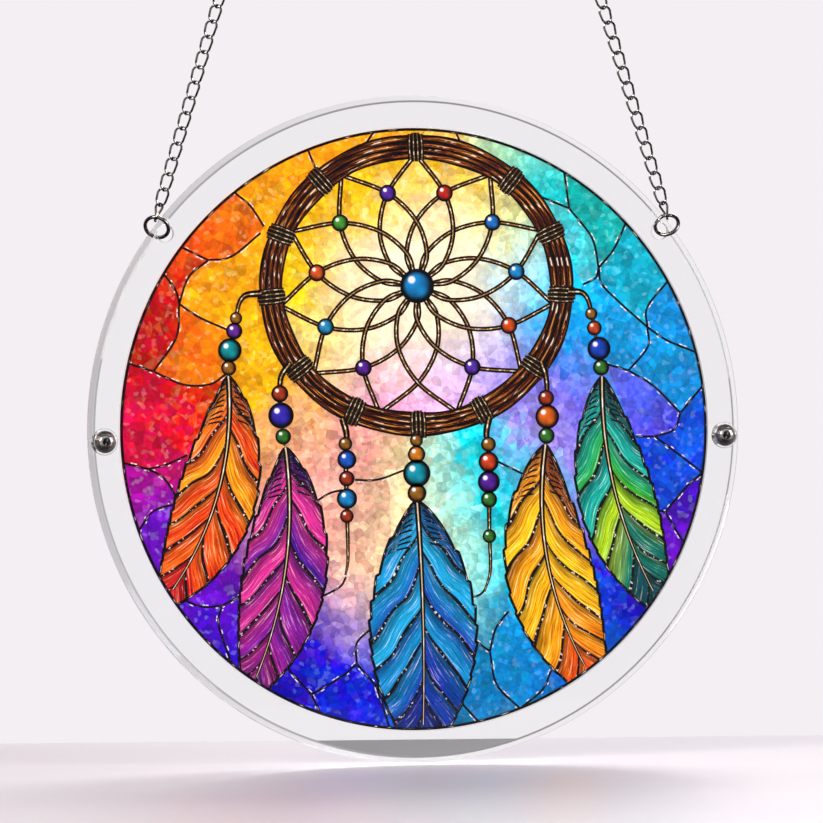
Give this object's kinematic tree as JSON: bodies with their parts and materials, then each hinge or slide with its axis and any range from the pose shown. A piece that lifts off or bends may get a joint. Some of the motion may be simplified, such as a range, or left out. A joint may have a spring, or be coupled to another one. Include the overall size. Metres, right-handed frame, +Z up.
{
  "type": "acrylic suncatcher",
  "caption": "Round clear acrylic suncatcher: a translucent printed disc between bevelled clear sheets held by small screws, hung from a ring by a fine chain.",
  "frame": {"origin": "inner crown of the hanging ring, where a hook or pin carries the suncatcher", "axes": "+Z up along the line of hanging, +X to the right seen from the front, -Y out of the front of the disc"},
  "size_m": [0.2, 0.0087, 0.4303],
  "materials": {
    "clear_acrylic": "clear polished cast acrylic",
    "printed_acrylic": "translucent print in many colours, stained-glass style",
    "plated_steel": "polished nickel plating"
  },
  "bodies": {
    "root": {"front_sheet": "clear_acrylic", "back_sheet": "clear_acrylic", "clear_washer_left": "clear_acrylic", "clear_washer_right": "clear_acrylic", "printed_disc": "printed_acrylic", "screw_left": "plated_steel", "screw_right": "plated_steel", "cup_washer_left": "plated_steel", "cup_washer_right": "plated_steel", "nut_left": "plated_steel", "nut_right": "plated_steel", "side_ring_left": "plated_steel", "side_ring_right": "plated_steel", "chain_left": "plated_steel", "chain_right": "plated_steel", "hanging_ring": "plated_steel"}
  },
  "joints": []
}
